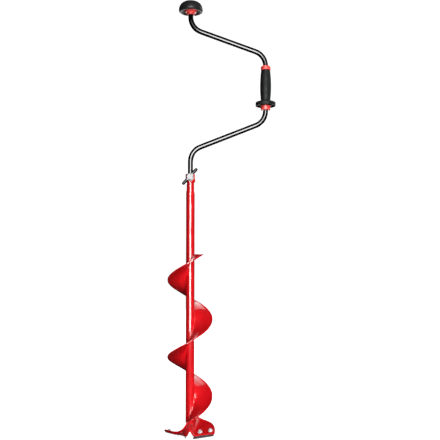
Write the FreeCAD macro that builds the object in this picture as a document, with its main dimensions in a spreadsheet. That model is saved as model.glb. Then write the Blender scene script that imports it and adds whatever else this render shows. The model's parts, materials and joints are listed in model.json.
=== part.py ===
import FreeCAD, Part
import Sketcher
import math
import os

# Hand ice auger.  The origin is on the tube's axis at the level of the lowest blade tip, +Z runs up the
# tube, and the crank handle bends out along +X.  Every length is in millimetres and every angle in degrees.

doc = FreeCAD.newDocument("ice_auger")
sheet = doc.addObject("Spreadsheet::Sheet", "Sizes")

SIZES = [
    # main tube and the neck that takes the crank
    ("tube_dia", 26.4), ("tube_wall", 1.5), ("tube_bottom", 49),
    ("shoulder_bottom", 748), ("shoulder_top", 756), ("shoulder_dia", 24.6),
    ("neck_dia", 23.2), ("neck_bore", 16.1), ("neck_bottom", 575),
    ("collar_dia", 30), ("collar_bottom", 779.5), ("collar_top", 806.5), ("collar_edge", 1.2),
    ("joint_gap", 0.05),
    # lock screw, pointing along -Y; distances run from the tube's axis
    ("lock_height", 795), ("boss_dia", 22), ("boss_front", 31), ("thread_dia", 8), ("thread_gap", 0.05),
    ("thread_hole", 8.6), ("lock_head_dia", 16), ("lock_head_back", 34), ("lock_head_front", 50),
    ("lock_head_edge", 1), ("lock_bar_dia", 8), ("lock_bar_length", 65), ("lock_bar_distance", 42),
    ("lock_bar_tilt", 47.5), ("lock_cap_length", 20), ("lock_cap_wall", 0.8), ("pad_length", 3.4),
    ("pad_stem_dia", 3), ("pad_stem_length", 4), ("pad_stem_room", 1),
    # crank
    ("crank_dia", 16), ("crank_wall", 2), ("crank_foot", 626), ("crank_top", 1316.7), ("crank_throw", 228.4),
    ("bend_radius", 47), ("grip_leg_bottom", 999), ("grip_leg_top", 1136),
    ("lower_arm_rise", 21.4), ("upper_arm_rise", 19.8),
    ("foot_plug_stem", 12), ("foot_plug_lip", 2), ("foot_plug_inset", 0.2), ("top_plug_length", 20),
    # palm knob
    ("knob_dia", 73), ("knob_widest", 1305.2), ("knob_top", 1331.7), ("knob_crown_dia", 44), ("knob_crown", 1328.7),
    ("knob_rim_dia", 64), ("knob_rim", 1299.2), ("knob_hollow_dia", 58), ("knob_seat", 1305.8),
    ("knob_socket_dia", 26.4), ("knob_roof", 1324.7), ("knob_side_radius", 24), ("knob_rim_radius", 5.6),
    ("bush_neck_dia", 24), ("bush_bottom", 1291.7), ("bush_cone_bottom", 1298.7), ("bush_cone_dia", 33),
    ("bush_flange_dia", 39.5), ("bush_flange_bottom", 1303.2), ("bush_flange_top", 1305.7), ("bush_top", 1316.1),
    ("knob_washer_dia", 24), ("knob_washer_thick", 1.5), ("knob_screw_dia", 6), ("knob_screw_head_dia", 11),
    ("knob_screw_head", 3.5), ("knob_screw_edge", 1), ("knob_screw_length", 14),
    # grip on the crank's outer leg
    ("sleeve_bottom", 1001.8), ("sleeve_core_dia", 22), ("lower_collar_dia", 31),
    ("lower_collar_foot_dia", 29.5),
    ("lower_collar_top", 1015.3), ("upper_collar_dia", 30), ("upper_collar_bottom", 1123.5),
    ("upper_collar_edge", 3), ("barrel_gap", 0.1), ("barrel_top_dia", 27.6), ("barrel_dia", 33.8),
    ("barrel_widest", 1071), ("barrel_waist_dia", 29), ("barrel_waist", 1031), ("barrel_bulge_radius", 420),
    ("barrel_flange_dia", 61), ("barrel_flange_bottom", 1014), ("barrel_flange_top", 1026),
    ("flange_hollow_dia", 55), ("flange_hollow_hub_dia", 36), ("flange_hollow_top", 1018),
    ("flange_edge", 4), ("flange_foot_edge", 1.2),
    # flighting
    ("flight_dia", 138), ("flight_thick", 3), ("flight_pitch", 234.5), ("flight_start", -95),
    ("flight_start_height", 65.5), ("flight_sweep", 762), ("flight_lip_width", 8), ("flight_lip", 2),
    ("weld_gap", 0.05),
    # cutter head: an S-shaped twisted plate with two wings
    ("cut_dia", 152), ("head_plate", 4), ("lead_inner_reach", 13), ("lead_sweep", 12), ("lead_rise", 11.4),
    ("wing_slope", 17), ("web_bottom", 21), ("web_top", 49), ("web_width", 8), ("trail_angle", 85),
    ("curl_angle", 15), ("curl_power", 6), ("rim_width", 6), ("rim_height", 5), ("rim_ramp_angle", 18),
    # blades and their fasteners
    ("blade_thick", 3), ("blade_depth", 25), ("blade_inner_overhang", 8), ("blade_outer_overhang", 5),
    ("blade_bevel", 9), ("blade_inner_reach", 3), ("blade_outer_trim", 4), ("screw_setback", 14),
    ("screw_inner_reach", 30), ("screw_outer_reach", 61.8), ("screw_dia", 6), ("screw_hole", 6.6),
    ("screw_head_dia", 12), ("screw_head_gap", 0.1), ("screw_length", 15),
    ("nut_flange_dia", 14.2), ("nut_flange_thick", 1.5), ("nut_across_flats", 10), ("nut_height", 6),
]

for row, (alias, number) in enumerate(SIZES, start=1):
    sheet.set("A%d" % row, alias)
    sheet.set("B%d" % row, str(number))
    sheet.setAlias("B%d" % row, alias)
doc.recompute()


class Length:
    """A number together with the sheet expression that it comes from, so that both stay in step."""

    def __init__(self, number, text):
        self.number = number
        self.text = text

    def __add__(self, other):
        other = as_length(other)
        return Length(self.number + other.number, "(%s + %s)" % (self.text, other.text))

    def __sub__(self, other):
        other = as_length(other)
        return Length(self.number - other.number, "(%s - %s)" % (self.text, other.text))

    def __mul__(self, factor):
        return Length(self.number * factor, "(%s * %g)" % (self.text, factor))

    def __truediv__(self, divisor):
        return Length(self.number / divisor, "(%s / %g)" % (self.text, divisor))


def as_length(value):
    return value if isinstance(value, Length) else Length(value, "%g" % value)


def size(alias):
    return Length(float(sheet.get(alias)), "Sizes." + alias)


def radius(alias):
    return size(alias) / 2


def number(alias):
    return size(alias).number


def body_named(label):
    body = doc.addObject("PartDesign::Body", label)
    body.Label = label
    return body


def plane_of(body, role):
    return next(plane for plane in body.Origin.OriginFeatures if plane.Role == role)


def sketch_on(body, name, role):
    sketch = body.newObject("Sketcher::SketchObject", name)
    sketch.AttachmentSupport = (plane_of(body, role), [""])
    sketch.MapMode = "FlatFace"
    return sketch


def pin_down(sketch, geometry, end, across, up):
    """Hold one end of a sketch edge at two sheet-driven distances from the sketch's origin."""
    for kind, length in (("DistanceX", across), ("DistanceY", up)):
        length = as_length(length)
        index = sketch.addConstraint(Sketcher.Constraint(kind, -1, 1, geometry, end, length.number))
        sketch.setExpression("Constraints[%d]" % index, length.text)


def arc_through(start, finish, arc_radius, bulge):
    """An arc between two points whose centre lies to the left (bulge -1) or right (+1) of the chord."""
    chord = finish - start
    middle = (start + finish) * 0.5
    side = FreeCAD.Vector(chord.y, -chord.x, 0).normalize() * bulge
    depth = math.sqrt(arc_radius ** 2 - (chord.Length / 2) ** 2)
    crest = middle + side * (arc_radius - depth)
    return Part.Arc(start, crest, finish)


def turned(label, outline, bends=None):
    """A body of revolution about +Z from a closed outline of (radius, height) corners.

    bends maps a corner's number to (radius, bulge) where the edge after that corner is an arc.
    """
    bends = bends or {}
    body = body_named(label)
    sketch = sketch_on(body, label + "_outline", "XZ_Plane")
    corners = [(as_length(across), as_length(up)) for across, up in outline]
    points = [FreeCAD.Vector(across.number, up.number, 0) for across, up in corners]
    count = len(points)
    starts = []
    for corner in range(count):
        start, finish = points[corner], points[(corner + 1) % count]
        if corner in bends:
            bend_radius, bulge = bends[corner]
            arc = arc_through(start, finish, bend_radius.number, bulge)
            edge = sketch.addGeometry(arc, False)
            forward = sketch.getPoint(edge, 1).distanceToPoint(start) < 1e-6
            index = sketch.addConstraint(Sketcher.Constraint("Radius", edge, bend_radius.number))
            sketch.setExpression("Constraints[%d]" % index, bend_radius.text)
            starts.append((edge, 1 if forward else 2))
        else:
            edge = sketch.addGeometry(Part.LineSegment(start, finish), False)
            starts.append((edge, 1))
    for corner in range(count):
        edge, end = starts[corner]
        previous, previous_start = starts[corner - 1]
        joint = Sketcher.Constraint("Coincident", previous, 3 - previous_start, edge, end)
        sketch.addConstraint(joint)
        pin_down(sketch, edge, end, *corners[corner])
    revolution = body.newObject("PartDesign::Revolution", label + "_turned")
    revolution.Profile = sketch
    revolution.ReferenceAxis = (sketch, ["V_Axis"])
    revolution.Angle = 360
    doc.recompute()
    return body


def stand_at_lock(part):
    """Turn a part built up +Z so that it points along -Y from the tube's axis at the lock's height."""
    part.Placement = FreeCAD.Placement(FreeCAD.Vector(0, 0, 0), FreeCAD.Rotation(FreeCAD.Vector(1, 0, 0), 90))
    part.setExpression(".Placement.Base.z", "Sizes.lock_height")


def cylinder(label, across, height, base=None):
    part = doc.addObject("Part::Cylinder", label)
    part.setExpression("Radius", across.text)
    part.setExpression("Height", as_length(height).text)
    if base is not None:
        part.setExpression(".Placement.Base.z", as_length(base).text)
    return part


def cut(label, base, tool):
    part = doc.addObject("Part::Cut", label)
    part.Label = label
    part.Base = base
    part.Tool = tool
    return part


def auger_tube():
    bore = radius("tube_dia") - size("tube_wall")
    return turned("auger_tube", [
        (bore, size("tube_bottom")),
        (radius("tube_dia"), size("tube_bottom")),
        (radius("tube_dia"), size("shoulder_bottom")),
        (radius("shoulder_dia"), size("shoulder_top")),
        (bore, size("shoulder_top")),
    ])


def lock_drill(label):
    """The clearance hole that lets the lock screw through the neck and its collar."""
    drill = cylinder(label, radius("thread_hole"), size("collar_dia"))
    stand_at_lock(drill)
    return drill


def neck_tube():
    blank = turned("neck_tube_blank", [
        (radius("neck_bore"), size("neck_bottom")),
        (radius("neck_dia"), size("neck_bottom")),
        (radius("neck_dia"), size("collar_top")),
        (radius("neck_bore"), size("collar_top")),
    ])
    return cut("neck_tube", blank, lock_drill("neck_tube_drill"))


def lock_collar():
    bore = radius("neck_dia") + size("joint_gap")
    rim = radius("collar_dia") - size("collar_edge")
    blank = turned("lock_collar_blank", [
        (bore, size("collar_bottom")),
        (rim, size("collar_bottom")),
        (radius("collar_dia"), size("collar_bottom") + size("collar_edge")),
        (radius("collar_dia"), size("collar_top") - size("collar_edge")),
        (rim, size("collar_top")),
        (bore, size("collar_top")),
    ])
    return cut("lock_collar", blank, lock_drill("lock_collar_drill"))


def lock_boss():
    """The round threaded boss on the collar, hollowed to sit on the collar's wall."""
    blank = cylinder("lock_boss_blank", radius("boss_dia"), size("boss_front"))
    stand_at_lock(blank)
    seat = cylinder("lock_boss_seat", radius("collar_dia") + size("joint_gap"), size("boss_dia") * 2,
                    size("lock_height") - size("boss_dia"))
    seated = cut("lock_boss_seated", blank, seat)
    thread = cylinder("lock_boss_thread", radius("thread_dia") + size("thread_gap"), size("lock_head_front"))
    stand_at_lock(thread)
    return cut("lock_boss", seated, thread)


def lock_pad():
    tip = radius("crank_dia") + size("joint_gap")
    shoulder = tip + size("pad_length")
    pad = turned("lock_pad", [
        (0, tip),
        (radius("thread_dia"), tip),
        (radius("thread_dia"), shoulder),
        (radius("pad_stem_dia"), shoulder),
        (radius("pad_stem_dia"), shoulder + size("pad_stem_length")),
        (0, shoulder + size("pad_stem_length")),
    ])
    stand_at_lock(pad)
    return pad


def lock_screw():
    back = radius("crank_dia") + size("joint_gap") + size("pad_length") + size("joint_gap")
    stem_hole = radius("pad_stem_dia") + size("joint_gap")
    hole_end = back + size("pad_stem_length") + size("pad_stem_room")
    blank = turned("lock_screw_blank", [
        (stem_hole, back),
        (radius("thread_dia"), back),
        (radius("thread_dia"), size("lock_head_back")),
        (radius("lock_head_dia"), size("lock_head_back")),
        (radius("lock_head_dia"), size("lock_head_front") - size("lock_head_edge")),
        (radius("lock_head_dia") - size("lock_head_edge"), size("lock_head_front")),
        (0, size("lock_head_front")),
        (0, hole_end),
        (stem_hole, hole_end),
    ])
    stand_at_lock(blank)
    drill = bar_between_ends("lock_screw_drill", radius("lock_bar_dia") + size("joint_gap"),
                             size("lock_bar_length"))
    return cut("lock_screw", blank, drill)


def bar_between_ends(label, across, length):
    """A plain round bar centred on the middle of the lock bar and lying along it."""
    half = length / 2
    bar = turned(label, [(0, as_length(0) - half), (across, as_length(0) - half), (across, half), (0, half)])
    tilt_bar(bar)
    return bar


def tilt_bar(part):
    """Place a part built up +Z along the lock bar's tilted axis, from the middle of the bar."""
    swing = FreeCAD.Rotation(FreeCAD.Vector(0, 1, 0), 90 - number("lock_bar_tilt"))
    part.Placement = FreeCAD.Placement(FreeCAD.Vector(0, -number("lock_bar_distance"), 0), swing)
    part.setExpression(".Placement.Base.z", "Sizes.lock_height")
    part.setExpression(".Placement.Base.y", "-Sizes.lock_bar_distance")


def lock_bar():
    cap = radius("lock_bar_dia") + size("joint_gap") + size("lock_cap_wall")
    return bar_between_ends("lock_bar", radius("lock_bar_dia"), size("lock_bar_length") - cap * 2)


def lock_bar_caps():
    """Two round-ended plastic caps, one pushed on each end of the lock bar."""
    inside = radius("lock_bar_dia") + size("joint_gap")
    outside = inside + size("lock_cap_wall")
    tip = radius("lock_bar_length")
    mouth = tip - size("lock_cap_length")
    cap = turned("lock_bar_cap_blank", [
        (0, tip - outside),
        (inside, tip - outside),
        (inside, mouth),
        (outside, mouth),
        (outside, tip - outside),
        (0, tip),
    ], {4: (outside, 1)})
    half_turn = FreeCAD.Rotation(FreeCAD.Vector(1, 0, 0), 180)
    far_cap = cap.Shape.copy()
    far_cap.Placement = FreeCAD.Placement(FreeCAD.Vector(), half_turn)
    return as_feature("lock_bar_caps", Part.makeCompound([cap.Shape, far_cap]), tilt_bar)


def as_feature(label, shape, place=None):
    feature = doc.addObject("Part::Feature", label)
    feature.Label = label
    feature.Shape = shape
    if place is not None:
        place(feature)
    return feature


def crank_path(body):
    """The crank's centreline: five straight legs joined by four tangent bends of one radius."""
    path = sketch_on(body, "crank_path", "XZ_Plane")
    bend = number("bend_radius")
    lower_rise = math.radians(number("lower_arm_rise"))
    upper_rise = math.radians(number("upper_arm_rise"))
    lower_trim = bend * math.tan((math.pi / 2 - lower_rise) / 2)
    upper_trim = bend * math.tan((math.pi / 2 - upper_rise) / 2)
    throw = number("crank_throw")
    lower_corner = number("grip_leg_bottom") - lower_trim
    upper_corner = number("grip_leg_top") + upper_trim
    corners = [
        FreeCAD.Vector(0, number("crank_foot"), 0),
        FreeCAD.Vector(0, lower_corner - throw * math.tan(lower_rise), 0),
        FreeCAD.Vector(throw, lower_corner, 0),
        FreeCAD.Vector(throw, upper_corner, 0),
        FreeCAD.Vector(0, upper_corner + throw * math.tan(upper_rise), 0),
        FreeCAD.Vector(0, number("crank_top"), 0),
    ]
    trims = [0, lower_trim, lower_trim, upper_trim, upper_trim, 0]
    legs = []
    for leg in range(len(corners) - 1):
        along = (corners[leg + 1] - corners[leg]).normalize()
        start = corners[leg] + along * trims[leg]
        finish = corners[leg + 1] - along * trims[leg + 1]
        legs.append(path.addGeometry(Part.LineSegment(start, finish), False))
    for corner in range(1, len(legs)):
        entry = path.getPoint(legs[corner - 1], 2)
        leave = path.getPoint(legs[corner], 1)
        before = corners[corner] - corners[corner - 1]
        after = corners[corner + 1] - corners[corner]
        bulge = 1 if before.cross(after).z > 0 else -1
        arc = path.addGeometry(arc_through(entry, leave, bend, bulge), False)
        first = 1 if path.getPoint(arc, 1).distanceToPoint(entry) < 1e-6 else 2
        path.addConstraint(Sketcher.Constraint("Tangent", legs[corner - 1], 2, arc, first))
        path.addConstraint(Sketcher.Constraint("Tangent", arc, 3 - first, legs[corner], 1))
        index = path.addConstraint(Sketcher.Constraint("Radius", arc, bend))
        path.setExpression("Constraints[%d]" % index, "Sizes.bend_radius")
    socket_leg, lower_arm, grip_leg, upper_arm, knob_leg = legs
    for leg in (socket_leg, grip_leg, knob_leg):
        path.addConstraint(Sketcher.Constraint("Vertical", leg))
    pin_down(path, socket_leg, 1, 0, size("crank_foot"))
    pin_down(path, grip_leg, 1, size("crank_throw"), size("grip_leg_bottom"))
    pin_down(path, knob_leg, 2, 0, size("crank_top"))
    top = path.addConstraint(Sketcher.Constraint("DistanceY", -1, 1, grip_leg, 2, number("grip_leg_top")))
    path.setExpression("Constraints[%d]" % top, "Sizes.grip_leg_top")
    for arm, rise, text in ((lower_arm, lower_rise, "Sizes.lower_arm_rise"),
                            (upper_arm, math.pi - upper_rise, "180 - Sizes.upper_arm_rise")):
        index = path.addConstraint(Sketcher.Constraint("Angle", arm, rise))
        path.setExpression("Constraints[%d]" % index, "(%s) * 1 deg" % text)
    return path


def crank():
    body = body_named("crank")
    path = crank_path(body)
    ring = sketch_on(body, "crank_section", "XY_Plane")
    ring.setExpression(".AttachmentOffset.Base.z", "Sizes.crank_foot")
    for across in (radius("crank_dia"), radius("crank_dia") - size("crank_wall")):
        circle = Part.Circle(FreeCAD.Vector(), FreeCAD.Vector(0, 0, 1), across.number)
        edge = ring.addGeometry(circle, False)
        ring.addConstraint(Sketcher.Constraint("Coincident", edge, 3, -1, 1))
        index = ring.addConstraint(Sketcher.Constraint("Radius", edge, across.number))
        ring.setExpression("Constraints[%d]" % index, across.text)
    doc.recompute()
    pipe = body.newObject("PartDesign::AdditivePipe", "crank_pipe")
    pipe.Profile = ring
    pipe.Spine = (path, ["Edge%d" % edge for edge in range(1, 10)])
    doc.recompute()
    return body


def crank_foot_plug():
    """A plastic plug that closes the foot of the crank tube."""
    stem = radius("crank_dia") - size("crank_wall") - size("joint_gap")
    lip = radius("crank_dia") - size("foot_plug_inset")
    return turned("crank_foot_plug", [
        (0, size("crank_foot") - size("foot_plug_lip")),
        (lip, size("crank_foot") - size("foot_plug_lip")),
        (lip, size("crank_foot")),
        (stem, size("crank_foot")),
        (stem, size("crank_foot") + size("foot_plug_stem")),
        (0, size("crank_foot") + size("foot_plug_stem")),
    ])


def crank_top_insert():
    """The threaded insert in the top of the crank tube that the knob's screw goes into."""
    outside = radius("crank_dia") - size("crank_wall") - size("joint_gap")
    thread = radius("knob_screw_dia") + size("joint_gap")
    bottom = size("crank_top") - size("top_plug_length")
    return turned("crank_top_insert", [
        (thread, bottom),
        (outside, bottom),
        (outside, size("crank_top")),
        (thread, size("crank_top")),
    ])


def knob_washer():
    hole = radius("knob_screw_dia") + size("joint_gap") * 4
    return turned("knob_washer", [
        (hole, size("crank_top")),
        (radius("knob_washer_dia"), size("crank_top")),
        (radius("knob_washer_dia"), size("crank_top") + size("knob_washer_thick")),
        (hole, size("crank_top") + size("knob_washer_thick")),
    ])


def knob_screw():
    seat = size("crank_top") + size("knob_washer_thick")
    head_top = seat + size("knob_screw_head")
    return turned("knob_screw", [
        (0, seat - size("knob_screw_length")),
        (radius("knob_screw_dia"), seat - size("knob_screw_length")),
        (radius("knob_screw_dia"), seat),
        (radius("knob_screw_head_dia"), seat),
        (radius("knob_screw_head_dia"), head_top - size("knob_screw_edge")),
        (radius("knob_screw_head_dia") - size("knob_screw_edge"), head_top),
        (0, head_top),
    ])


def knob_bush():
    """The flanged bush that the knob turns on."""
    bore = radius("crank_dia") + size("joint_gap")
    spigot = radius("knob_socket_dia") - size("joint_gap")
    return turned("knob_bush", [
        (bore, size("bush_bottom")),
        (radius("bush_neck_dia"), size("bush_bottom")),
        (radius("bush_neck_dia"), size("bush_cone_bottom")),
        (radius("bush_cone_dia"), size("bush_cone_bottom")),
        (radius("bush_flange_dia"), size("bush_flange_bottom")),
        (radius("bush_flange_dia"), size("bush_flange_top")),
        (spigot, size("bush_flange_top")),
        (spigot, size("bush_top")),
        (bore, size("bush_top")),
    ])


def cap_radius(across, rise):
    """The radius of a round cap from its half width and its rise."""
    text = "((%s ^ 2 + %s ^ 2) / (2 * %s))" % (across.text, rise.text, rise.text)
    return Length((across.number ** 2 + rise.number ** 2) / (2 * rise.number), text)


def knob_shell():
    """The palm knob: a low dome with a hollowed underside and a stepped socket for the bush."""
    socket = radius("knob_socket_dia")
    crown_radius = cap_radius(radius("knob_crown_dia"), size("knob_top") - size("knob_crown"))
    return turned("knob_shell", [
        (socket, size("knob_seat")),
        (radius("bush_flange_dia"), size("knob_seat")),
        (radius("knob_hollow_dia"), size("knob_rim")),
        (radius("knob_rim_dia"), size("knob_rim")),
        (radius("knob_dia"), size("knob_widest")),
        (radius("knob_crown_dia"), size("knob_crown")),
        (0, size("knob_top")),
        (0, size("knob_roof")),
        (socket, size("knob_roof")),
    ], {3: (size("knob_rim_radius"), 1), 4: (size("knob_side_radius"), 1), 5: (crown_radius, 1)})


def grip_sleeve():
    """The sleeve that turns on the crank's outer leg, with a collar at each end."""
    bore = radius("crank_dia") + size("joint_gap")
    core = radius("sleeve_core_dia")
    upper = radius("upper_collar_dia")
    return turned("grip_sleeve", [
        (bore, size("sleeve_bottom")),
        (radius("lower_collar_foot_dia"), size("sleeve_bottom")),
        (radius("lower_collar_dia"), size("lower_collar_top")),
        (core, size("lower_collar_top")),
        (core, size("upper_collar_bottom")),
        (upper, size("upper_collar_bottom")),
        (upper, size("grip_leg_top") - size("upper_collar_edge")),
        (upper - size("upper_collar_edge"), size("grip_leg_top")),
        (bore, size("grip_leg_top")),
    ])


def grip_barrel():
    """The rubber barrel on the sleeve, ending in a broad flange that is hollow underneath."""
    bore = radius("sleeve_core_dia") + size("barrel_gap")
    rim = radius("barrel_flange_dia")
    edge = size("flange_edge")
    foot_edge = size("flange_foot_edge")
    return turned("grip_barrel", [
        (bore, size("lower_collar_top") + size("barrel_gap")),
        (radius("flange_hollow_hub_dia"), size("lower_collar_top") + size("barrel_gap")),
        (radius("flange_hollow_hub_dia"), size("flange_hollow_top")),
        (radius("flange_hollow_dia"), size("flange_hollow_top")),
        (radius("flange_hollow_dia"), size("barrel_flange_bottom")),
        (rim - foot_edge, size("barrel_flange_bottom")),
        (rim, size("barrel_flange_bottom") + foot_edge),
        (rim, size("barrel_flange_top") - edge),
        (rim - edge, size("barrel_flange_top")),
        (radius("barrel_waist_dia"), size("barrel_waist")),
        (radius("barrel_dia"), size("barrel_widest")),
        (radius("barrel_top_dia"), size("upper_collar_bottom") - size("barrel_gap")),
        (bore, size("upper_collar_bottom") - size("barrel_gap")),
    ], {5: (foot_edge, 1), 7: (edge, 1), 9: (size("barrel_bulge_radius"), 1), 10: (size("barrel_bulge_radius"), 1)})


def move_to_crank_leg(part):
    part.setExpression(".Placement.Base.x", "Sizes.crank_throw")


def flighting(head):
    """A right-hand spiral strip welded round the tube, its outer margin turned up a little.

    It runs from the cutter head up to a radial cut end.
    """
    body = body_named("flighting_strip")
    strip = sketch_on(body, "flighting_section", "XZ_Plane")
    inner = radius("tube_dia") + size("weld_gap")
    outer = radius("flight_dia")
    half = size("flight_thick") / 2
    low = as_length(0) - half
    lip_start = outer - size("flight_lip_width")
    corners = [(inner, low), (lip_start, low), (outer, low + size("flight_lip")),
               (outer, half + size("flight_lip")), (lip_start, half), (inner, half)]
    points = [FreeCAD.Vector(across.number, up.number, 0) for across, up in corners]
    sides = len(corners)
    for side in range(sides):
        strip.addGeometry(Part.LineSegment(points[side], points[(side + 1) % sides]), False)
    for side in range(sides):
        strip.addConstraint(Sketcher.Constraint("Coincident", side, 2, (side + 1) % sides, 1))
        pin_down(strip, side, 1, *corners[side])
    helix = body.newObject("PartDesign::AdditiveHelix", "flighting_helix")
    helix.Profile = strip
    helix.ReferenceAxis = (strip, ["V_Axis"])
    helix.Mode = "pitch-turns-angle"
    helix.setExpression("Pitch", "Sizes.flight_pitch")
    helix.setExpression("Turns", "Sizes.flight_sweep / 360")
    helix.LeftHanded = False
    body.Placement = FreeCAD.Placement(
        FreeCAD.Vector(), FreeCAD.Rotation(FreeCAD.Vector(0, 0, 1), number("flight_start")))
    body.setExpression(".Placement.Base.z", "Sizes.flight_start_height")
    doc.recompute()
    return cut("flighting", body, head)


class BladeSeat:
    """The flat, rising plane under a wing's leading edge that its blade is screwed to."""

    def __init__(self):
        slope = math.radians(number("wing_slope"))
        reach = number("cut_dia") / 2 - number("lead_inner_reach")
        self.fall = math.tan(slope)
        self.rise = (number("lead_rise") + number("lead_sweep") * self.fall) / reach
        self.along = FreeCAD.Vector(reach, -number("lead_sweep"), number("lead_rise")).normalize()
        self.up = FreeCAD.Vector(-self.rise, -self.fall, 1).normalize()
        self.back = self.up.cross(self.along)
        tip_drop = number("head_plate") / 2 + number("blade_thick")
        inner_height = (self.up.z * (tip_drop + number("weld_gap")) + self.back.z * number("blade_inner_overhang")
                        + self.along.z * number("blade_inner_reach"))
        self.corner = FreeCAD.Vector(number("lead_inner_reach"), 0, inner_height)
        self.edge_length = reach / self.along.x

    def height(self, across, away):
        return self.corner.z + self.rise * (across - self.corner.x) + self.fall * away

    def point(self, along, back, up):
        return self.corner + self.along * along + self.back * back + self.up * up

    def frame(self, along, back):
        """A placement on the seat whose Z axis is square to the plate."""
        rotation = FreeCAD.Rotation(self.along, self.back, self.up, "ZXY")
        return FreeCAD.Placement(self.point(along, back, 0), rotation)

    def screw_places(self):
        """The two screw places of a wing, as placements square to the plate."""
        places = []
        for reach in (number("screw_inner_reach"), number("screw_outer_reach")):
            along = (reach - self.corner.x) / self.along.x
            places.append(self.frame(along, number("screw_setback")))
        return places


HALF_TURN = FreeCAD.Placement(FreeCAD.Vector(), FreeCAD.Rotation(FreeCAD.Vector(0, 0, 1), 180))


def on_every_screw_place(seat, shape):
    """Copies of one fastener at all four screw places of the two wings."""
    copies = []
    for wing in (FreeCAD.Placement(), HALF_TURN):
        for place in seat.screw_places():
            copy = shape.copy()
            copy.Placement = wing.multiply(place)
            copies.append(copy)
    return copies


def head_point(seat, reach, sweep):
    """A point on the middle surface of the S-shaped plate.

    reach runs from minus to plus the cutting radius through the axis; sweep runs from 0 at the leading
    edge to 1 at the trailing edge.  Away from the axis the plate is the blade seat's plane, curling up
    behind to the start of the flighting; close to the axis it stands up as a twisted web.
    """
    wing = -1 if reach < 0 else 1
    span = abs(reach)
    outer = number("cut_dia") / 2
    swept_back = max(0, span - seat.corner.x) * number("lead_sweep") / (outer - seat.corner.x)
    lead = -math.asin(swept_back / outer) if span else 0
    trail = math.radians(number("trail_angle"))
    angle = lead + (trail - lead) * sweep
    across = span * math.cos(angle)
    away = span * math.sin(angle)
    curl_start = math.radians(number("curl_angle"))
    curl = max(0, (angle - curl_start) / (trail - curl_start))
    plane = seat.height(across, away)
    trail_plane = seat.height(span * math.cos(trail), span * math.sin(trail))
    height = plane + (number("flight_start_height") - trail_plane) * curl ** number("curl_power")
    rim_start = outer - number("rim_width")
    rim = max(0, (span - rim_start) / number("rim_width"))
    ramp = min(1, (angle - lead) / math.radians(number("rim_ramp_angle")))
    rim_ramp = ramp ** 2 * (3 - 2 * ramp)
    height += number("rim_height") * rim ** 2 * rim_ramp * (1 - curl ** number("curl_power"))
    web = number("web_bottom") + (number("web_top") - number("web_bottom")) * sweep
    blend = math.exp(-(span / number("web_width")) ** 2)
    height = blend * web + (1 - blend) * height
    return FreeCAD.Vector(wing * across, wing * away, height)


def head_surfaces(seat):
    """The plate's two faces: its middle surface moved half a thickness along its own normal each way."""
    outer = number("cut_dia") / 2
    spans = 80
    steps = 20
    half = number("head_plate") / 2
    nudge = 0.01
    faces = []
    for side in (-half, half):
        rows = []
        for span in range(spans + 1):
            reach = outer * (2 * span / spans - 1)
            row = []
            for step in range(steps + 1):
                sweep = step / steps
                before, after = max(0, sweep - nudge), min(1, sweep + nudge)
                inward, outward = max(-outer, reach - nudge), min(outer, reach + nudge)
                along = head_point(seat, outward, sweep) - head_point(seat, inward, sweep)
                behind = head_point(seat, reach, after) - head_point(seat, reach, before)
                normal = along.cross(behind).normalize()
                row.append(head_point(seat, reach, sweep) + normal * side)
            rows.append(row)
        surface = Part.BSplineSurface()
        surface.interpolate(rows)
        faces.append(surface)
    return faces


def cutter_head(seat):
    under, over = head_surfaces(seat)
    faces = [under.toShape(), over.toShape()]
    for edge in (0, 1):
        faces.append(Part.makeRuledSurface(under.uIso(edge).toShape(), over.uIso(edge).toShape(), 1))
        faces.append(Part.makeRuledSurface(under.vIso(edge).toShape(), over.vIso(edge).toShape(), 1))
    shell = Part.makeShell(faces)
    shell.sewShape()
    plate = Part.makeSolid(shell)
    tube_room = Part.makeCylinder(number("tube_dia") / 2 + number("weld_gap"), number("flight_dia"),
                                  FreeCAD.Vector(0, 0, number("tube_bottom") + number("weld_gap")))
    hole = Part.makeCylinder(number("screw_hole") / 2, number("screw_length") * 2,
                             FreeCAD.Vector(0, 0, -number("screw_length")))
    return as_feature("cutter_head", plate.cut([tube_room] + on_every_screw_place(seat, hole)))


def blade_blank(seat):
    """One straight blade: a flat bar under the leading edge, ground to an edge in front."""
    top = -number("head_plate") / 2 - number("weld_gap")
    bottom = top - number("blade_thick")
    back = number("blade_depth")
    inner_front = -number("blade_inner_overhang")
    outer_front = -number("blade_outer_overhang")
    bevel = number("blade_bevel")
    ends = []
    for along, front in ((-number("blade_inner_reach"), inner_front),
                         (seat.edge_length - number("blade_outer_trim"), outer_front)):
        section = [(front, bottom), (back, bottom), (back, top), (front + bevel, top)]
        points = [seat.point(along, behind, up) for behind, up in section]
        ends.append(Part.makePolygon(points + points[:1]))
    blade = Part.makeLoft(ends, True, True)
    drill = Part.makeCylinder(number("screw_hole") / 2, number("screw_length") * 2,
                              FreeCAD.Vector(0, 0, -number("screw_length")))
    sink_depth = (number("screw_head_dia") - number("screw_hole")) / 2
    sink = Part.makeCone(number("screw_head_dia") / 2, number("screw_hole") / 2, sink_depth,
                         FreeCAD.Vector(0, 0, bottom))
    tools = []
    for place in seat.screw_places():
        for tool in (drill, sink):
            copy = tool.copy()
            copy.Placement = place
            tools.append(copy)
    return blade.cut(tools)


def blades(seat):
    right = blade_blank(seat)
    left = right.copy()
    left.Placement = HALF_TURN
    return [as_feature("blade_right", right), as_feature("blade_left", left)]


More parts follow.
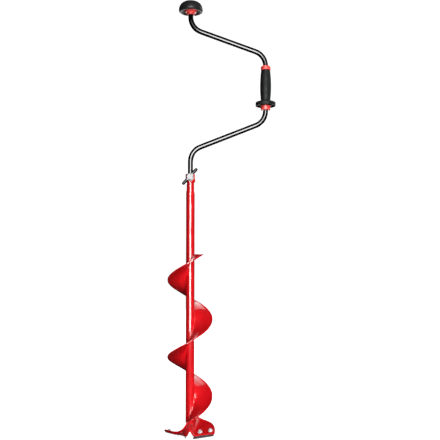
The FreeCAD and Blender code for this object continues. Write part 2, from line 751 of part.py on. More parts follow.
def blade_screws(seat):
    """Countersunk screws, flush with the underside of the blades."""
    bottom = -number("head_plate") / 2 - number("weld_gap") - number("blade_thick")
    head = number("screw_head_dia") / 2 - number("screw_head_gap")
    shank = number("screw_dia") / 2
    sink_depth = head - shank
    blank = Part.makeCone(head, shank, sink_depth, FreeCAD.Vector(0, 0, bottom))
    blank = blank.fuse(Part.makeCylinder(shank, number("screw_length"), FreeCAD.Vector(0, 0, bottom)))
    return as_feature("blade_screws", Part.makeCompound(on_every_screw_place(seat, blank.removeSplitter())))


def blade_nuts(seat):
    """Flanged hexagon nuts on top of the wings."""
    seat_height = number("head_plate") / 2 + number("weld_gap")
    corner = number("nut_across_flats") / math.sqrt(3)
    hexagon = [FreeCAD.Vector(corner * math.cos(math.radians(60 * side)),
                              corner * math.sin(math.radians(60 * side)), seat_height) for side in range(7)]
    prism = Part.Face(Part.makePolygon(hexagon)).extrude(FreeCAD.Vector(0, 0, number("nut_height")))
    flange = Part.makeCylinder(number("nut_flange_dia") / 2, number("nut_flange_thick"),
                               FreeCAD.Vector(0, 0, seat_height))
    thread = Part.makeCylinder(number("screw_dia") / 2 + number("joint_gap"), number("screw_length"),
                               FreeCAD.Vector(0, 0, 0))
    nut = prism.fuse(flange).cut(thread).removeSplitter()
    return as_feature("blade_nuts", Part.makeCompound(on_every_screw_place(seat, nut)))


def build():
    seat = BladeSeat()
    handle_pieces = [crank(), crank_foot_plug(), crank_top_insert(), knob_washer(), knob_screw()]
    knob_pieces = [knob_bush(), knob_shell()]
    grip_pieces = [grip_sleeve(), grip_barrel()]
    for piece in grip_pieces:
        move_to_crank_leg(piece)
    lock_pieces = [lock_boss(), lock_pad(), lock_screw(), lock_bar(), lock_bar_caps()]
    head = cutter_head(seat)
    shaft_pieces = [auger_tube(), neck_tube(), lock_collar(), flighting(head)]
    head_pieces = [head] + blades(seat) + [blade_screws(seat), blade_nuts(seat)]
    doc.recompute()
    return shaft_pieces + head_pieces + lock_pieces + handle_pieces + knob_pieces + grip_pieces


def check_and_write(pieces):
    for item in doc.Objects:
        for state in ("Invalid", "Error"):
            if state in item.State:
                raise RuntimeError("%s did not recompute: %s" % (item.Name, item.State))
    for piece in pieces:
        if piece.Shape.isNull() or not piece.Shape.isValid():
            raise RuntimeError("%s has no valid shape" % piece.Label)
    os.makedirs("parts", exist_ok=True)
    for piece in pieces:
        piece.Shape.exportStep("parts/%s.step" % piece.Label)
        box = piece.Shape.BoundBox
        print("%-18s %d solid(s) %10.1f mm3  x %.1f..%.1f  y %.1f..%.1f  z %.1f..%.1f" % (
            piece.Label, len(piece.Shape.Solids), piece.Shape.Volume,
            box.XMin, box.XMax, box.YMin, box.YMax, box.ZMin, box.ZMax))


check_and_write(build())
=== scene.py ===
import json
import math

import bpy
from mathutils import Matrix, Vector


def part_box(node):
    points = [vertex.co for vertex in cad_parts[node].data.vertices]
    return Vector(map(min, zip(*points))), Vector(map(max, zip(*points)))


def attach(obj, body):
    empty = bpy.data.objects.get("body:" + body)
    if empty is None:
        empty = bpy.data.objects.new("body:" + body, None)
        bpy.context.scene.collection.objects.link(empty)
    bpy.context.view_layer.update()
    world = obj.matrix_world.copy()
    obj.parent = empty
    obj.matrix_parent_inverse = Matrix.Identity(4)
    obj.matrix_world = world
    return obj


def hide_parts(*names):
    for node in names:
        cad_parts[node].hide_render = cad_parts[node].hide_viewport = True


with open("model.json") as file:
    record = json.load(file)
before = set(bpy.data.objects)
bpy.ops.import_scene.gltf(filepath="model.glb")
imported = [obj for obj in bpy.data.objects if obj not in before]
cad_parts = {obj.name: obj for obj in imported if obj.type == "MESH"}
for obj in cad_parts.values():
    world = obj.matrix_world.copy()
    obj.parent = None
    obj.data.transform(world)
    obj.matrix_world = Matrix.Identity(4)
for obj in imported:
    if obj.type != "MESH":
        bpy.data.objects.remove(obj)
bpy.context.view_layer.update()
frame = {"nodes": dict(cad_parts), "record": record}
nodes = frame["nodes"]

MM = 0.001
PICTURE_PARTS = 440        # the focal length and the horizon are in 440ths of the picture's width
FOCAL_LENGTH = 620
HORIZON_DROP = 20          # how far the horizon lies below the picture's middle
SENSOR = 36.0              # sensor width, in Blender's millimetres
CAMERA_DISTANCE = 1.89
CAMERA_RIGHT = 0.0906
CAMERA_HEIGHT = 0.606
CAMERA_ROLL = -0.16        # degrees

TURNED_SIDES = 96
FILLET_STEPS = 5
FILLET_SHARE = 0.45                     # the most of an edge that one fillet may take
SOFTENED_TURN = math.radians(25)        # a corner that turns less is left as it is
SHARP_EDGE = math.radians(40)           # an edge that turns more is sharp, or is bevelled
ON_AXIS = MM / 100                      # a radius below this is a point on the axis


def low(node):
    return Vector(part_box(node)[0])


def high(node):
    return Vector(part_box(node)[1])


def middle(node):
    return (low(node) + high(node)) / 2


def radius_of(node):
    """The largest radius of a node that is round about an upright axis."""
    return (high(node).x - low(node).x) / 2


# ---------------------------------------------------------------- materials

COAT_IOR = 1.25


class Recipe:
    """A short way to write a node material: one shader and the textures that feed it."""

    def __init__(self, name, colour, roughness, metallic=0.0, coat=0.0, coat_roughness=0.05, specular=0.5):
        self.material = bpy.data.materials.new(name)
        self.material.use_nodes = True
        self.material.diffuse_color = (*colour, 1)
        self.tree = self.material.node_tree
        self.shader = self.tree.nodes["Principled BSDF"]
        self.shader.inputs["Base Color"].default_value = (*colour, 1)
        self.shader.inputs["Roughness"].default_value = roughness
        self.shader.inputs["Metallic"].default_value = metallic
        self.shader.inputs["Coat Weight"].default_value = coat
        self.shader.inputs["Coat Roughness"].default_value = coat_roughness
        self.shader.inputs["Coat IOR"].default_value = COAT_IOR
        self.shader.inputs["Specular IOR Level"].default_value = specular
        self.place = self.tree.nodes.new("ShaderNodeTexCoord").outputs["Object"]

    def link(self, source, target):
        self.tree.links.new(source, target)

    def stretched(self, x, y, z):
        """Object coordinates scaled along each axis."""
        mapping = self.tree.nodes.new("ShaderNodeMapping")
        mapping.inputs["Scale"].default_value = (x, y, z)
        self.link(self.place, mapping.inputs["Vector"])
        return mapping.outputs["Vector"]

    def noise(self, scale, detail=3.0, roughness=0.5, where=None):
        texture = self.tree.nodes.new("ShaderNodeTexNoise")
        texture.inputs["Scale"].default_value = scale
        texture.inputs["Detail"].default_value = detail
        texture.inputs["Roughness"].default_value = roughness
        self.link(where or self.place, texture.inputs["Vector"])
        return texture.outputs["Fac"]

    def spread(self, factor, start, finish, first, last):
        """Turn a texture's range start..finish into a value range first..last."""
        remap = self.tree.nodes.new("ShaderNodeMapRange")
        remap.inputs["From Min"].default_value = start
        remap.inputs["From Max"].default_value = finish
        remap.inputs["To Min"].default_value = first
        remap.inputs["To Max"].default_value = last
        self.link(factor, remap.inputs["Value"])
        return remap.outputs["Result"]

    def blend_colours(self, factor, first, second):
        mix = self.tree.nodes.new("ShaderNodeMix")
        mix.data_type = "RGBA"
        for socket in mix.inputs:
            if socket.type == "RGBA":
                colour = first if socket.name == "A" else second
                socket.default_value = (*colour, 1)
        self.link(factor, mix.inputs["Factor"])
        return next(socket for socket in mix.outputs if socket.type == "RGBA")

    def tint(self, factor, first, second):
        self.link(self.blend_colours(factor, first, second), self.shader.inputs["Base Color"])

    def add_bump(self, height, strength, distance):
        bump = self.tree.nodes.new("ShaderNodeBump")
        bump.inputs["Strength"].default_value = strength
        bump.inputs["Distance"].default_value = distance
        self.link(height, bump.inputs["Height"])
        self.link(bump.outputs["Normal"], self.shader.inputs["Normal"])


def gloss_paint(name, colour, deep, specular=0.03, coat=1.0):
    """Enamel, or glossy plastic with less coat: faint clouding, orange peel and small scuffs."""
    recipe = Recipe(name, colour, 0.30, coat=coat, coat_roughness=0.035, specular=specular)
    recipe.tint(recipe.spread(recipe.noise(9.0, 4.0), 0.35, 0.65, 0.0, 1.0), colour, deep)
    scuffs = recipe.noise(60.0, 6.0, 0.7, recipe.stretched(1.0, 1.0, 0.15))
    recipe.link(recipe.spread(scuffs, 0.45, 0.75, 0.24, 0.42), recipe.shader.inputs["Roughness"])
    recipe.add_bump(recipe.noise(700.0, 2.0), 0.03, 0.0003)
    return recipe.material


def bright_metal(name, colour, dark, roughness, metallic=1.0, specular=0.5):
    """Plated, ground or cast metal: fine streaks, blotches of darker tone and a soft sheen.

    A lower metallic shades it nearer to satin paint, which the strip light doesn't burn out.
    """
    recipe = Recipe(name, colour, roughness, metallic=metallic, specular=specular)
    recipe.tint(recipe.spread(recipe.noise(140.0, 4.0), 0.35, 0.7, 0.0, 1.0), colour, dark)
    streaks = recipe.noise(700.0, 3.0, 0.6, recipe.stretched(0.12, 1.0, 1.0))
    recipe.link(recipe.spread(streaks, 0.3, 0.7, roughness * 0.75, roughness * 1.35),
                recipe.shader.inputs["Roughness"])
    recipe.add_bump(streaks, 0.12, 0.0002)
    return recipe.material


def moulded(name, colour, deep, roughness, grain, grain_depth=0.0003, specular=0.1):
    """Moulded plastic or rubber with a fine even grain."""
    recipe = Recipe(name, colour, roughness, specular=specular)
    recipe.tint(recipe.spread(recipe.noise(35.0, 4.0), 0.35, 0.65, 0.0, 1.0), colour, deep)
    recipe.link(recipe.spread(recipe.noise(80.0, 4.0), 0.3, 0.7, roughness * 0.8, roughness * 1.25),
                recipe.shader.inputs["Roughness"])
    recipe.add_bump(recipe.noise(grain, 2.0), 0.2, grain_depth)
    return recipe.material


MATERIALS = {
    "shaft_red": gloss_paint("red_enamel", (0.64, 0.008, 0.012), (0.54, 0.004, 0.008)),
    "crank_black": gloss_paint("black_enamel", (0.0015, 0.0015, 0.0018), (0.003, 0.003, 0.0033), 0.0),
    "blade_steel": bright_metal("ground_steel", (0.12, 0.12, 0.125), (0.05, 0.05, 0.055), 0.34, 0.6),
    "zinc": bright_metal("zinc_plate", (0.66, 0.66, 0.67), (0.48, 0.48, 0.49), 0.40, 0.0, 0.015),
    "bar_steel": bright_metal("bar_steel", (0.60, 0.60, 0.61), (0.42, 0.42, 0.43), 0.36, 0.0, 0.12),
    "pad_brass": bright_metal("pad_brass", (0.70, 0.52, 0.24), (0.50, 0.36, 0.15), 0.35),
    "cap_black": gloss_paint("cap_gloss", (0.002, 0.002, 0.0025), (0.004, 0.004, 0.0045), 0.0, 0.3),
    "plug_black": moulded("plug_plastic", (0.02, 0.02, 0.02), (0.03, 0.03, 0.03), 0.55, 1200.0),
    "bush_red": moulded("red_plastic", (0.95, 0.085, 0.07), (0.84, 0.06, 0.05), 0.32, 1500.0,
                        specular=0.12),
    "knob_black": moulded("knob_plastic", (0.012, 0.012, 0.0125), (0.02, 0.02, 0.021), 0.36, 1600.0,
                          specular=0.06),
    "grip_rubber": moulded("grip_rubber", (0.009, 0.0095, 0.010), (0.015, 0.0155, 0.016), 0.50, 1100.0,
                           grain_depth=0.0005, specular=0.03),
}


def slot_of(node):
    return next(entry["material_slot"] for entry in frame["record"]["subparts"] if entry["node"] == node)


def body_of(node):
    return next(name for name, body in frame["record"]["behaviour"]["bodies"].items() if node in body)


def dress_cad_nodes():
    for name, node in nodes.items():
        for slot in node.material_slots:
            slot.material = MATERIALS[slot_of(name)]


# ---------------------------------------------------------------- pieces made here

def finish_piece(name, verts, faces, like, replaces=True, bevel=0.0):
    """Make a smooth closed piece that takes its body, and its finish, from the CAD node it is like."""
    mesh = bpy.data.meshes.new(name)
    mesh.from_pydata([tuple(vert) for vert in verts], [], faces)
    mesh.validate()
    for polygon in mesh.polygons:
        polygon.use_smooth = True
    if not bevel:
        mesh.set_sharp_from_angle(angle=SHARP_EDGE)
    mesh.materials.append(MATERIALS[slot_of(like)])
    piece = bpy.data.objects.new(name, mesh)
    bpy.context.collection.objects.link(piece)
    if bevel:
        rounding = piece.modifiers.new("rounded_edges", "BEVEL")
        rounding.width = bevel
        rounding.segments = 3
        rounding.limit_method = "ANGLE"
        rounding.angle_limit = SHARP_EDGE
    piece.modifiers.new("even_shading", "WEIGHTED_NORMAL")
    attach(piece, body_of(like))
    if replaces:
        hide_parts(like)


def arc(start, finish, radius, steps=14):
    """Points of an arc from start to finish that swells to the right of its chord, ends included."""
    start, finish = Vector(start), Vector(finish)
    chord = finish - start
    depth = math.sqrt(radius ** 2 - (chord.length / 2) ** 2)
    side = Vector((chord.y, -chord.x)).normalized()
    centre = (start + finish) / 2 - side * depth
    first = start - centre
    turn = math.atan2(chord.length / 2, depth) * 2
    return [centre + Matrix.Rotation(turn * step / steps, 2) @ first for step in range(steps + 1)]


def softened(outline, fillet):
    """A closed outline with every corner rounded off that turns by more than SOFTENED_TURN.

    A corner may carry its own rounding as a third number.
    """
    fillets = [point[2] if len(point) > 2 else fillet for point in outline]
    outline = [Vector(point[:2]) for point in outline]
    count = len(outline)
    result = []
    for place, corner in enumerate(outline):
        before = outline[place - 1] - corner
        after = outline[(place + 1) % count] - corner
        opening = before.angle(after)
        if math.pi - opening < SOFTENED_TURN or corner.x < ON_AXIS:
            result.append(corner)
            continue
        reach = min(fillets[place] / math.tan(opening / 2),
                    before.length * FILLET_SHARE, after.length * FILLET_SHARE)
        start = corner + before.normalized() * reach
        finish = corner + after.normalized() * reach
        for step in range(FILLET_STEPS + 1):
            share = step / FILLET_STEPS
            result.append(start.lerp(corner, share).lerp(corner.lerp(finish, share), share))
    return result


def lathe(outline, sides=TURNED_SIDES):
    """Turn a closed (radius, height) outline about +Z; points on the axis become single poles."""
    verts = []
    rings = []
    for across, up in outline:
        if across < ON_AXIS:
            rings.append([len(verts)] * sides)
            verts.append(Vector((0, 0, up)))
            continue
        rings.append([len(verts) + side for side in range(sides)])
        for side in range(sides):
            turn = 2 * math.pi * side / sides
            verts.append(Vector((across * math.cos(turn), across * math.sin(turn), up)))
    faces = []
    for place, ring in enumerate(rings):
        above = rings[(place + 1) % len(rings)]
        for side in range(sides):
            after = (side + 1) % sides
            corners = [ring[side], ring[after], above[after], above[side]]
            face = list(dict.fromkeys(corners))
            if len(face) > 2:
                faces.append(face)
    return verts, faces


def turned(name, outline, like, centre=(0, 0, 0), spin=None, fillet=0.6 * MM):
    """A turned piece with rounded corners; spin turns it from +Z before it moves to its centre."""
    verts, faces = lathe(softened(outline, fillet))
    place = Matrix.Translation(centre) @ (spin or Matrix.Identity(4))
    finish_piece(name, [place @ vert for vert in verts], faces, like)


def bar_faces(rings, ring_size):
    """Side and end faces of a solid given as a row of rings, each a closed loop of points."""
    faces = []
    for row in range(rings - 1):
        for side in range(ring_size):
            after = (side + 1) % ring_size
            faces.append([row * ring_size + side, row * ring_size + after,
                          (row + 1) * ring_size + after, (row + 1) * ring_size + side])
    faces.append(list(range(ring_size))[::-1])
    faces.append([(rings - 1) * ring_size + side for side in range(ring_size)])
    return faces


def plate(name, grid, offsets, like, bevel):
    """A curved plate: a grid of middle points moved both ways by their offsets, walled all round."""
    rows, columns = len(grid), len(grid[0])
    verts = []
    for sign in (1, -1):
        for row in range(rows):
            for column in range(columns):
                verts.append(grid[row][column] + offsets[row][column] * sign)

    def index(layer, row, column):
        return layer * rows * columns + row * columns + column

    faces = []
    for row in range(rows - 1):
        for column in range(columns - 1):
            square = [(row, column), (row + 1, column), (row + 1, column + 1), (row, column + 1)]
            faces.append([index(0, *corner) for corner in square])
            faces.append([index(1, *corner) for corner in reversed(square)])
    rim = [(row, 0) for row in range(rows)]
    rim += [(rows - 1, column) for column in range(1, columns)]
    rim += [(row, columns - 1) for row in range(rows - 2, -1, -1)]
    rim += [(0, column) for column in range(columns - 2, 0, -1)]
    for place, corner in enumerate(rim):
        after = rim[(place + 1) % len(rim)]
        faces.append([index(0, *after), index(0, *corner), index(1, *corner), index(1, *after)])
    finish_piece(name, verts, faces, like, bevel=bevel)


# ---------------------------------------------------------------- flighting and its weld

FLIGHT_PITCH = 234.5 * MM
FLIGHT_SWEEP = math.radians(762)
FLIGHT_THICK = 3 * MM
FLIGHT_START = math.radians(-95)
LIP_WIDTH = 8 * MM
LIP_RISE = 2 * MM
LIP_CURVE = 1.5
FLIGHT_EDGE = 0.4 * MM
WELD_GAP = 0.05 * MM
WELD_HALF_HEIGHT = 1.8 * MM
WELD_HALF_DEPTH = 1.5 * MM
WELD_RIPPLE = 0.1
WELD_RIPPLES = 55           # in one full turn
WELD_MARGIN = 0.03          # radians of strip left bare at each end
WELD_END_SHARE = 0.2
WELD_TAPER_ROWS = 8


class Helix:
    """The flighting's path, which climbs to the top of its node's box."""

    def __init__(self):
        climb = FLIGHT_PITCH * FLIGHT_SWEEP / (2 * math.pi)
        self.start = high("flighting").z - LIP_RISE - FLIGHT_THICK / 2 - climb
        self.inner = radius_of("auger_tube") + WELD_GAP
        self.outer = radius_of("flighting")

    def height(self, turn):
        return self.start + FLIGHT_PITCH * turn / (2 * math.pi)

    def point(self, turn, across):
        """The strip's middle surface, whose outer margin turns up."""
        angle = FLIGHT_START + turn
        lip = max(0, 1 - (self.outer - across) / LIP_WIDTH)
        return Vector((across * math.cos(angle), across * math.sin(angle),
                       self.height(turn) + LIP_RISE * lip ** LIP_CURVE))

    def normal(self, turn, across):
        """Square to the strip at one place."""
        angle = FLIGHT_START + turn
        slope = math.atan(FLIGHT_PITCH / (2 * math.pi * across))
        return Vector((math.sin(slope) * math.sin(angle),
                       -math.sin(slope) * math.cos(angle),
                       math.cos(slope)))


def flighting(helix):
    rows, columns = 300, 32
    grid = []
    for row in range(rows + 1):
        turn = FLIGHT_SWEEP * row / rows
        grid.append([helix.point(turn, helix.inner + (helix.outer - helix.inner) * column / columns)
                     for column in range(columns + 1)])
    lift = Vector((0, 0, FLIGHT_THICK / 2))
    plate("flighting_strip", grid, [[lift] * (columns + 1) for row in grid], "flighting", FLIGHT_EDGE)


def flight_weld(helix):
    """A rippled bead along the strip's foot on the tube, which shows on both sides of the strip."""
    rows, sides = 900, 10
    verts = []
    for row in range(rows + 1):
        turn = WELD_MARGIN + (FLIGHT_SWEEP - 2 * WELD_MARGIN) * row / rows
        middle_point = helix.point(turn, helix.inner)
        normal = helix.normal(turn, helix.inner)
        outward = Vector((middle_point.x, middle_point.y, 0)).normalized()
        swell = 1 + WELD_RIPPLE * math.sin(turn * WELD_RIPPLES)
        taper = min(1, WELD_END_SHARE + row / WELD_TAPER_ROWS,
                    WELD_END_SHARE + (rows - row) / WELD_TAPER_ROWS)
        for side in range(sides):
            angle = 2 * math.pi * side / sides
            verts.append(middle_point + (normal * (WELD_HALF_HEIGHT * math.cos(angle))
                                         + outward * (WELD_HALF_DEPTH * math.sin(angle))) * swell * taper)
    finish_piece("flight_weld", verts, bar_faces(rows + 1, sides), "flighting", replaces=False)


# ---------------------------------------------------------------- cutter head

HEAD_RADIUS = 76 * MM
HEAD_PLATE = 4 * MM
HEAD_EDGE = 0.9 * MM
LEAD_INNER_REACH = 13 * MM
LEAD_SWEEP = 12 * MM
LEAD_RISE = 11.4 * MM
WING_FALL = math.tan(math.radians(17))
WEB_BOTTOM = 21 * MM
WEB_WIDTH = 8 * MM
TRAIL_ANGLE = math.radians(85)
CURL_ANGLE = math.radians(15)
CURL_POWER = 6
RIM_WIDTH = 6 * MM
RIM_HEIGHT = 5 * MM
RIM_RAMP_ANGLE = math.radians(18)
BLADE_THICK = 3 * MM
BLADE_INNER_OVERHANG = 8 * MM
BLADE_INNER_REACH = 3 * MM
SCREW_SETBACK = 14 * MM
SCREW_REACHES = (30 * MM, 61.8 * MM)


class Head:
    """The S-shaped plate: flat behind each leading edge, curling up to the flighting, a web between."""

    def __init__(self, helix):
        self.outer = HEAD_RADIUS
        self.trail_height = helix.start
        self.web_top = low("auger_tube").z
        reach = self.outer - LEAD_INNER_REACH
        self.rise = (LEAD_RISE + LEAD_SWEEP * WING_FALL) / reach
        self.along = Vector((reach, -LEAD_SWEEP, LEAD_RISE)).normalized()
        self.up = Vector((-self.rise, -WING_FALL, 1)).normalized()
        self.back = self.up.cross(self.along)
        tip_drop = HEAD_PLATE / 2 + BLADE_THICK + WELD_GAP
        inner_height = (self.up.z * tip_drop + self.back.z * BLADE_INNER_OVERHANG
                        + self.along.z * BLADE_INNER_REACH)
        self.corner = Vector((LEAD_INNER_REACH, 0, inner_height))

    def flat_height(self, across, away):
        return self.corner.z + self.rise * (across - self.corner.x) + WING_FALL * away

    def point(self, reach, sweep):
        """reach runs across both wings through the axis; sweep runs from the leading to the trailing edge."""
        wing = -1 if reach < 0 else 1
        span = abs(reach)
        swept_back = max(0, span - self.corner.x) * LEAD_SWEEP / (self.outer - self.corner.x)
        lead = -math.asin(swept_back / self.outer)
        angle = lead + (TRAIL_ANGLE - lead) * sweep
        across, away = span * math.cos(angle), span * math.sin(angle)
        curl = max(0, (angle - CURL_ANGLE) / (TRAIL_ANGLE - CURL_ANGLE)) ** CURL_POWER
        trail_plane = self.flat_height(span * math.cos(TRAIL_ANGLE), span * math.sin(TRAIL_ANGLE))
        height = self.flat_height(across, away) + (self.trail_height - trail_plane) * curl
        rim = max(0, (span - self.outer + RIM_WIDTH) / RIM_WIDTH)
        ramp = min(1, (angle - lead) / RIM_RAMP_ANGLE)
        height += RIM_HEIGHT * rim ** 2 * ramp ** 2 * (3 - 2 * ramp) * (1 - curl)
        web = WEB_BOTTOM + (self.web_top - WEB_BOTTOM) * sweep
        blend = math.exp(-(span / WEB_WIDTH) ** 2)
        return Vector((wing * across, wing * away, blend * web + (1 - blend) * height))

    def screw_frames(self):
        """Placements square to the plate at all four screws."""
        turn = Matrix((self.along, self.back, self.up)).transposed().to_4x4()
        frames = []
        for wing in (0, math.pi):
            for reach in SCREW_REACHES:
                along = (reach - self.corner.x) / self.along.x
                place = self.corner + self.along * along + self.back * SCREW_SETBACK
                frames.append(Matrix.Rotation(wing, 4, "Z") @ Matrix.Translation(place) @ turn)
        return frames


def cutter_head(head):
    rows, columns = 240, 60
    nudge = 0.004       # the step, as a share, over which the surface's slope is taken
    grid, offsets = [], []
    for row in range(rows + 1):
        reach = head.outer * (2 * row / rows - 1)
        points, normals = [], []
        for column in range(columns + 1):
            sweep = column / columns
            inward = head.point(max(-head.outer, reach - nudge * head.outer), sweep)
            outward = head.point(min(head.outer, reach + nudge * head.outer), sweep)
            before = head.point(reach, max(0, sweep - nudge))
            after = head.point(reach, min(1, sweep + nudge))
            points.append(head.point(reach, sweep))
            normals.append((outward - inward).cross(after - before).normalized() * (HEAD_PLATE / 2))
        grid.append(points)
        offsets.append(normals)
    plate("cutter_plate", grid, offsets, "cutter_head", HEAD_EDGE)


def blade_nuts(head):
    """Flanged hexagon nuts with chamfered corners, each with its screw's end showing."""
    seat = HEAD_PLATE / 2 + WELD_GAP
    flange, flat_radius, height, screw = 7.1 * MM, 5 * MM, 6 * MM, 2.9 * MM
    flange_rim, flange_top = seat + 1.0 * MM, seat + 1.9 * MM
    screw_rim, screw_top = seat + height + 0.8 * MM, seat + height + 1.6 * MM
    point_radius = screw * 0.75
    flange_outline = softened([(screw, seat), (flange, seat), (flange, flange_rim),
                               (flat_radius, flange_top), (screw, flange_top)], 0.4 * MM)
    end_outline = softened([(0, seat), (screw, seat), (screw, screw_rim),
                            (point_radius, screw_top), (0, screw_top)], 0.2 * MM)
    corner = flat_radius / math.cos(math.pi / 6)
    chamfered_levels = ((0.97, 1.2 * MM), (1.0, 1.8 * MM), (1.0, 5.2 * MM), (0.86, height))
    hexagon = []
    for share, up in chamfered_levels:
        for side in range(6):
            angle = math.pi / 3 * side
            hexagon.append(Vector((corner * share * math.cos(angle), corner * share * math.sin(angle),
                                   seat + up)))
    verts, faces = [], []
    for place in head.screw_frames():
        for part_verts, part_faces in (lathe(flange_outline, 40), lathe(end_outline, 24),
                                       (hexagon, bar_faces(len(chamfered_levels), 6))):
            first = len(verts)
            verts += [place @ vert for vert in part_verts]
            faces += [[first + index for index in face] for face in part_faces]
    finish_piece("blade_nut_set", verts, faces, "blade_nuts")


# ---------------------------------------------------------------- turned pieces

ROD_BORE = 8.06 * MM        # the crank's radius and its running fit


def knob():
    bottom, top = low("knob_shell").z, high("knob_shell").z
    bush_bottom, bush_top = low("knob_bush").z, high("knob_bush").z
    wide, flange = radius_of("knob_shell"), radius_of("knob_bush")
    socket, ceiling = 13.2 * MM, top - 7 * MM
    flange_bottom, flange_top = bush_bottom + 11.5 * MM, bush_bottom + 14 * MM
    seat, seat_gap = bush_bottom + 14.1 * MM, 0.3 * MM
    rim_inside, rim_outside, rim_swell = 29 * MM, 32 * MM, 5.6 * MM
    widest, side_swell = (wide, bottom + 6 * MM), 24 * MM
    shoulder = (22 * MM, top - 3 * MM)
    crown_radius = (shoulder[0] ** 2 + (top - shoulder[1]) ** 2) / (2 * (top - shoulder[1]))
    outline = [(socket, seat), (flange + seat_gap, seat), (rim_inside, bottom)]
    outline += arc((rim_outside, bottom), widest, rim_swell)
    outline += arc(widest, shoulder, side_swell)[1:]
    outline += arc(shoulder, (0, top), crown_radius)[1:]
    outline += [(0, ceiling), (socket, ceiling)]
    turned("palm_knob", outline, "knob_shell", fillet=1.0 * MM)
    neck, neck_top = 12 * MM, bush_bottom + 7 * MM
    cone_foot = 16.5 * MM
    spigot = socket - 0.1 * MM
    turned("knob_bushing", [
        (ROD_BORE, bush_bottom), (neck, bush_bottom), (neck, neck_top), (cone_foot, neck_top),
        (flange, flange_bottom), (flange, flange_top), (spigot, flange_top), (spigot, bush_top),
        (ROD_BORE, bush_top)], "knob_bush")


def grip():
    leg = (middle("grip_sleeve").x, 0, 0)
    bottom, top = low("grip_sleeve").z, high("grip_sleeve").z
    core = 11 * MM
    lower = radius_of("grip_sleeve")
    lower_foot = lower - 0.75 * MM
    upper, chamfer = lower - 0.5 * MM, 3 * MM
    shoulder, ledge = bottom + 13.5 * MM, top - 12.5 * MM
    turned("grip_bushing", [
        (ROD_BORE, bottom), (lower_foot, bottom), (lower, shoulder), (core, shoulder), (core, ledge),
        (upper, ledge), (upper, top - chamfer), (upper - chamfer, top), (ROD_BORE, top)],
        "grip_sleeve", leg, fillet=0.8 * MM)
    rim = radius_of("grip_barrel")
    foot, crest = low("grip_barrel").z, high("grip_barrel").z
    inside, seat = core + 0.1 * MM, shoulder + 0.1 * MM
    collar_room = 18 * MM
    hollow, hollow_top = 27.5 * MM, foot + 4 * MM
    flange_top = foot + 12 * MM
    lower_rounding, upper_rounding = 1.2 * MM, 4 * MM
    waist, belly, neck = (14.5 * MM, foot + 17 * MM), (16.9 * MM, foot + 57 * MM), (13.8 * MM, crest)
    side_swell = 420 * MM
    outline = [(inside, seat), (collar_room, seat), (collar_room, hollow_top), (hollow, hollow_top),
               (hollow, foot), (rim, foot, lower_rounding), (rim, flange_top, upper_rounding)]
    outline += arc(waist, belly, side_swell)
    outline += arc(belly, neck, side_swell)[1:]
    outline += [(inside, crest)]
    turned("grip_rubber", outline, "grip_barrel", leg, fillet=1.0 * MM)


# ---------------------------------------------------------------- lock screw

FORWARD = Matrix.Rotation(math.pi / 2, 4, "X")      # turns +Z to point along -Y
THREAD_PITCH = 1.25 * MM
THREAD_DEPTH = 0.55 * MM
THREAD_CLEARANCE = 0.02 * MM


def lock_boss():
    height = middle("lock_boss").z
    front = -low("lock_boss").y
    thread = (high("lock_pad").x - low("lock_pad").x) / 2
    wall = (high("lock_boss").x - low("lock_boss").x) / 2
    back = radius_of("neck_tube") + 0.5 * MM
    bore = thread + 0.06 * MM
    countersink = 1.2 * MM
    turned("lock_boss_turned", [
        (bore, back), (wall, back), (wall, front), (bore + countersink, front),
        (bore, front - countersink)],
        "lock_boss", (0, 0, height), FORWARD, fillet=0.9 * MM)


def lock_screw():
    """The screw: a helical thread running into a plain round head."""
    height = middle("lock_boss").z
    back, front = -high("lock_screw").y, -low("lock_screw").y
    thread = (high("lock_pad").x - low("lock_pad").x) / 2
    head_radius, head_length = 8 * MM, 16 * MM
    inside_head = 1 * MM
    sides, step = 48, 0.16 * MM
    rows = round((front - head_length - back) / step)
    verts = []
    for row in range(rows + 1):
        along = back + (front - head_length + inside_head - back) * row / rows
        for side in range(sides):
            phase = (along / THREAD_PITCH - side / sides) % 1
            across = thread - THREAD_DEPTH * abs(2 * phase - 1) - THREAD_CLEARANCE
            angle = 2 * math.pi * side / sides
            verts.append(Vector((across * math.cos(angle), across * math.sin(angle), along)))
    faces = bar_faces(rows + 1, sides)
    head_verts, head_faces = lathe(softened([
        (0, front - head_length), (head_radius, front - head_length), (head_radius, front), (0, front)],
        1.0 * MM))
    faces += [[len(verts) + index for index in face] for face in head_faces]
    verts += head_verts
    place = Matrix.Translation((0, 0, height)) @ FORWARD
    finish_piece("lock_screw_threaded", [place @ vert for vert in verts], faces, "lock_screw")


# ---------------------------------------------------------------- stage, lights and camera

def studio_paper():
    """Backlit white paper, with the faintest mottle of its fibres."""
    recipe = Recipe("studio_paper", (0.9, 0.9, 0.9), 0.9, specular=0.0)
    fibres = recipe.spread(recipe.noise(3.0, 4.0), 0.3, 0.7, 0.0, 1.0)
    recipe.tint(fibres, (0.90, 0.90, 0.90), (0.87, 0.87, 0.87))
    recipe.shader.inputs["Emission Color"].default_value = (1, 1, 1, 1)
    recipe.shader.inputs["Emission Strength"].default_value = 1.0
    return recipe.material


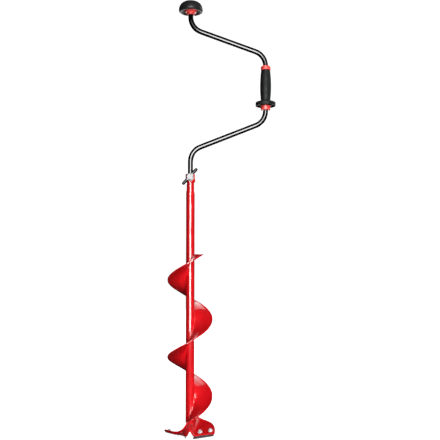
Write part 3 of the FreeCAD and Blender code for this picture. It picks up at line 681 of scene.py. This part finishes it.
def floor():
    """A pale round sweep: flat under the auger, curving up to a wall all the way round it."""
    flat, bend, top = 5.0, 1.5, 7.0
    steps, sides = 16, 96
    profile = [(flat, 0.0)]
    for step in range(1, steps + 1):
        turn = math.pi / 2 * step / steps
        profile.append((flat + bend * math.sin(turn), bend * (1 - math.cos(turn))))
    profile.append((flat + bend, top))
    turns = [2 * math.pi * side / sides for side in range(sides)]
    verts = [(across * math.cos(turn), across * math.sin(turn), up)
             for across, up in profile for turn in turns]
    faces = [list(range(sides))]
    for row in range(len(profile) - 1):
        for side in range(sides):
            after = (side + 1) % sides
            faces.append([row * sides + side, row * sides + after,
                          (row + 1) * sides + after, (row + 1) * sides + side])
    mesh = bpy.data.meshes.new("floor")
    mesh.from_pydata(verts, [], faces)
    mesh.materials.append(studio_paper())
    sweep = bpy.data.objects.new("floor", mesh)
    bpy.context.collection.objects.link(sweep)
    sweep.visible_glossy = False
    sweep.visible_diffuse = False


def softbox(name, place, aim, width, height, power, glossy=True, diffuse=True):
    light = bpy.data.lights.new(name, "AREA")
    light.shape = "RECTANGLE"
    light.size = width
    light.size_y = height
    light.energy = power
    lamp = bpy.data.objects.new(name, light)
    lamp.location = place
    lamp.rotation_euler = (Vector(aim) - Vector(place)).to_track_quat("-Z", "Y").to_euler()
    lamp.visible_camera = False
    lamp.visible_glossy = glossy
    lamp.visible_diffuse = diffuse
    bpy.context.collection.objects.link(lamp)


def lights():
    """Boxes and cards, some only for reflections (diffuse=False), some only for matt shading."""
    centre = (0.05, 0.0, 0.65)
    softbox("stripe_box", (0.14, -2.24, 0.76), (0.14, 0.0, 0.76), 1.5, 1.52, 550, diffuse=False)
    softbox("stripe_top", (0.14, -2.24, 1.745), (0.14, 0.0, 1.745), 1.5, 0.45, 55, diffuse=False)
    softbox("key_box", (1.9, -1.9, 1.5), centre, 1.3, 1.3, 16, glossy=False)
    softbox("fill_box", (0.1, -3.2, 1.2), centre, 2.2, 2.2, 66, glossy=False)
    softbox("top_box", (0.9, -0.5, 2.9), centre, 1.8, 1.2, 24, glossy=False)
    softbox("low_card", (0.7, -1.3, 0.05), (0.0, 0.0, 0.45), 1.2, 1.2, 22, glossy=False)
    softbox("right_card", (1.55, 1.5, 1.66), (0.05, 0.0, 0.17), 2.6, 1.5, 46, diffuse=False)
    softbox("rear_fill", (0.4, 3.2, 1.4), centre, 2.0, 2.0, 45, glossy=False)
    softbox("back_card", (0.1, 1.9, 0.6), (0.1, 1.9, 1.6), 2.0, 1.6, 80, diffuse=False)
    world = bpy.context.scene.world or bpy.data.worlds.new("World")
    bpy.context.scene.world = world
    world.use_nodes = True
    world.node_tree.nodes["Background"].inputs["Color"].default_value = (1, 1, 1, 1)
    world.node_tree.nodes["Background"].inputs["Strength"].default_value = 0.02


def camera():
    data = bpy.data.cameras.new("camera")
    data.sensor_width = SENSOR
    data.lens = FOCAL_LENGTH / PICTURE_PARTS * SENSOR
    data.shift_y = HORIZON_DROP / PICTURE_PARTS
    eye = bpy.data.objects.new("camera", data)
    eye.location = (CAMERA_RIGHT, -CAMERA_DISTANCE, CAMERA_HEIGHT)
    eye.rotation_euler = (math.radians(90), math.radians(CAMERA_ROLL), 0)
    bpy.context.collection.objects.link(eye)
    bpy.context.scene.camera = eye


dress_cad_nodes()
run = Helix()
flighting(run)
flight_weld(run)
cutting_head = Head(run)
cutter_head(cutting_head)
blade_nuts(cutting_head)
knob()
grip()
lock_boss()
lock_screw()
floor()
lights()
camera()
bpy.context.scene.view_settings.view_transform = "Standard"
